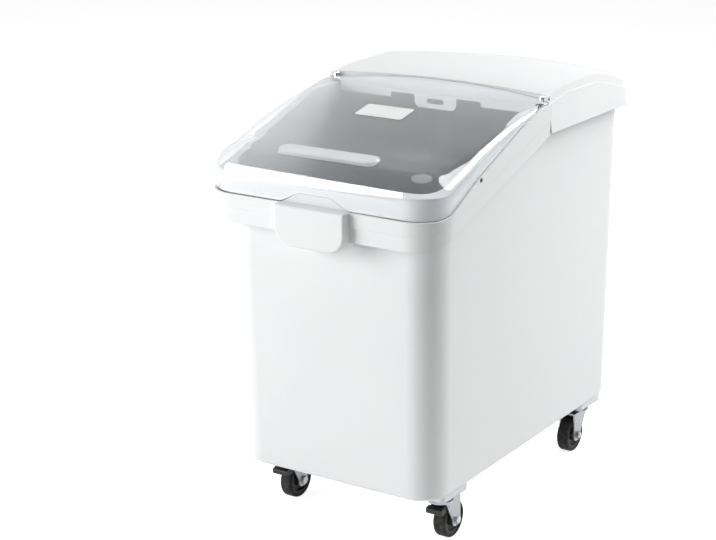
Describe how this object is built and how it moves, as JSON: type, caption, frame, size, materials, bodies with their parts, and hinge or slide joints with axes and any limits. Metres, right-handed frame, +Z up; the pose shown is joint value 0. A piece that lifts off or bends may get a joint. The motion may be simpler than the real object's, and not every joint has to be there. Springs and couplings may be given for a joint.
{
  "type": "rolling ingredient bin",
  "caption": "Tall moulded food bin on swivel casters, with a clear slanted front lid hinged to a fixed white rear hood and a pull under its front edge.",
  "frame": {"origin": "on the floor under the middle of the bin", "axes": "+Z up, -Y towards the low front with the pull, +X to the bin's right seen from the front"},
  "size_m": [0.4336, 0.695, 0.7119],
  "materials": {
    "white_moulded": "smooth moulded polypropylene, soft sheen",
    "clear_plastic": "clear polycarbonate, polished",
    "zinc_plated": "pressed steel, bright zinc plated",
    "steel": "plain bright steel",
    "black_plastic": "black moulded nylon",
    "black_tyre": "black rubber tread, slightly dusty",
    "soft_rubber": "dark grey rubber button"
  },
  "bodies": {
    "root": {"tub": "white_moulded", "hood": "white_moulded", "lid_hinge_pin_left": "steel", "lid_hinge_pin_right": "steel", "lid_bumper_left": "soft_rubber", "lid_bumper_right": "soft_rubber", "caster_screws": "steel", "front_left_mounting_plate": "zinc_plated", "front_left_kingpin": "steel", "front_right_mounting_plate": "zinc_plated", "front_right_kingpin": "steel", "rear_left_mounting_plate": "zinc_plated", "rear_left_kingpin": "steel", "rear_right_mounting_plate": "zinc_plated", "rear_right_kingpin": "steel"},
    "lid": {"lid": "clear_plastic"},
    "front_left_swivel": {"front_left_fork": "zinc_plated", "front_left_swivel_balls": "steel", "front_left_axle_bolt": "steel", "front_left_axle_nut": "steel", "front_left_hub_sleeve": "steel", "front_left_brake_pin": "steel"},
    "front_left_wheel": {"front_left_wheel_core": "black_plastic", "front_left_tyre": "black_tyre"},
    "front_left_brake": {"front_left_brake_pedal": "black_plastic"},
    "front_right_swivel": {"front_right_fork": "zinc_plated", "front_right_swivel_balls": "steel", "front_right_axle_bolt": "steel", "front_right_axle_nut": "steel", "front_right_hub_sleeve": "steel", "front_right_brake_pin": "steel"},
    "front_right_wheel": {"front_right_wheel_core": "black_plastic", "front_right_tyre": "black_tyre"},
    "front_right_brake": {"front_right_brake_pedal": "black_plastic"},
    "rear_left_swivel": {"rear_left_fork": "zinc_plated", "rear_left_swivel_balls": "steel", "rear_left_axle_bolt": "steel", "rear_left_axle_nut": "steel", "rear_left_hub_sleeve": "steel"},
    "rear_left_wheel": {"rear_left_wheel_core": "black_plastic", "rear_left_tyre": "black_tyre"},
    "rear_right_swivel": {"rear_right_fork": "zinc_plated", "rear_right_swivel_balls": "steel", "rear_right_axle_bolt": "steel", "rear_right_axle_nut": "steel", "rear_right_hub_sleeve": "steel"},
    "rear_right_wheel": {"rear_right_wheel_core": "black_plastic", "rear_right_tyre": "black_tyre"}
  },
  "joints": [
    {"name": "lid_hinge", "type": "hinge", "parent": "root", "child": "lid", "pos_m": [0, 0.023, 0.688], "axis": [-1, 0, 0], "range_deg": [0, 112]},
    {"name": "front_left_swivel_turn", "type": "hinge", "parent": "root", "child": "front_left_swivel", "pos_m": [-0.1516, -0.2105, 0.0725], "axis": [0, 0, 1], "continuous": true},
    {"name": "front_left_wheel_roll", "type": "hinge", "parent": "front_left_swivel", "child": "front_left_wheel", "pos_m": [-0.1516, -0.1865, 0.03175], "axis": [1, 0, 0], "continuous": true},
    {"name": "front_left_brake_press", "type": "hinge", "parent": "front_left_swivel", "child": "front_left_brake", "pos_m": [-0.1516, -0.2075, 0.061], "axis": [1, 0, 0], "range_deg": [0, 6]},
    {"name": "front_right_swivel_turn", "type": "hinge", "parent": "root", "child": "front_right_swivel", "pos_m": [0.1516, -0.2105, 0.0725], "axis": [0, 0, 1], "continuous": true},
    {"name": "front_right_wheel_roll", "type": "hinge", "parent": "front_right_swivel", "child": "front_right_wheel", "pos_m": [0.1516, -0.1865, 0.03175], "axis": [1, 0, 0], "continuous": true},
    {"name": "front_right_brake_press", "type": "hinge", "parent": "front_right_swivel", "child": "front_right_brake", "pos_m": [0.1516, -0.2075, 0.061], "axis": [1, 0, 0], "range_deg": [0, 6]},
    {"name": "rear_left_swivel_turn", "type": "hinge", "parent": "root", "child": "rear_left_swivel", "pos_m": [-0.1516, 0.2617, 0.0725], "axis": [0, 0, 1], "continuous": true},
    {"name": "rear_left_wheel_roll", "type": "hinge", "parent": "rear_left_swivel", "child": "rear_left_wheel", "pos_m": [-0.1516, 0.2377, 0.03175], "axis": [1, 0, 0], "continuous": true},
    {"name": "rear_right_swivel_turn", "type": "hinge", "parent": "root", "child": "rear_right_swivel", "pos_m": [0.1516, 0.2617, 0.0725], "axis": [0, 0, 1], "continuous": true},
    {"name": "rear_right_wheel_roll", "type": "hinge", "parent": "rear_right_swivel", "child": "rear_right_wheel", "pos_m": [0.1516, 0.2377, 0.03175], "axis": [1, 0, 0], "continuous": true}
  ]
}
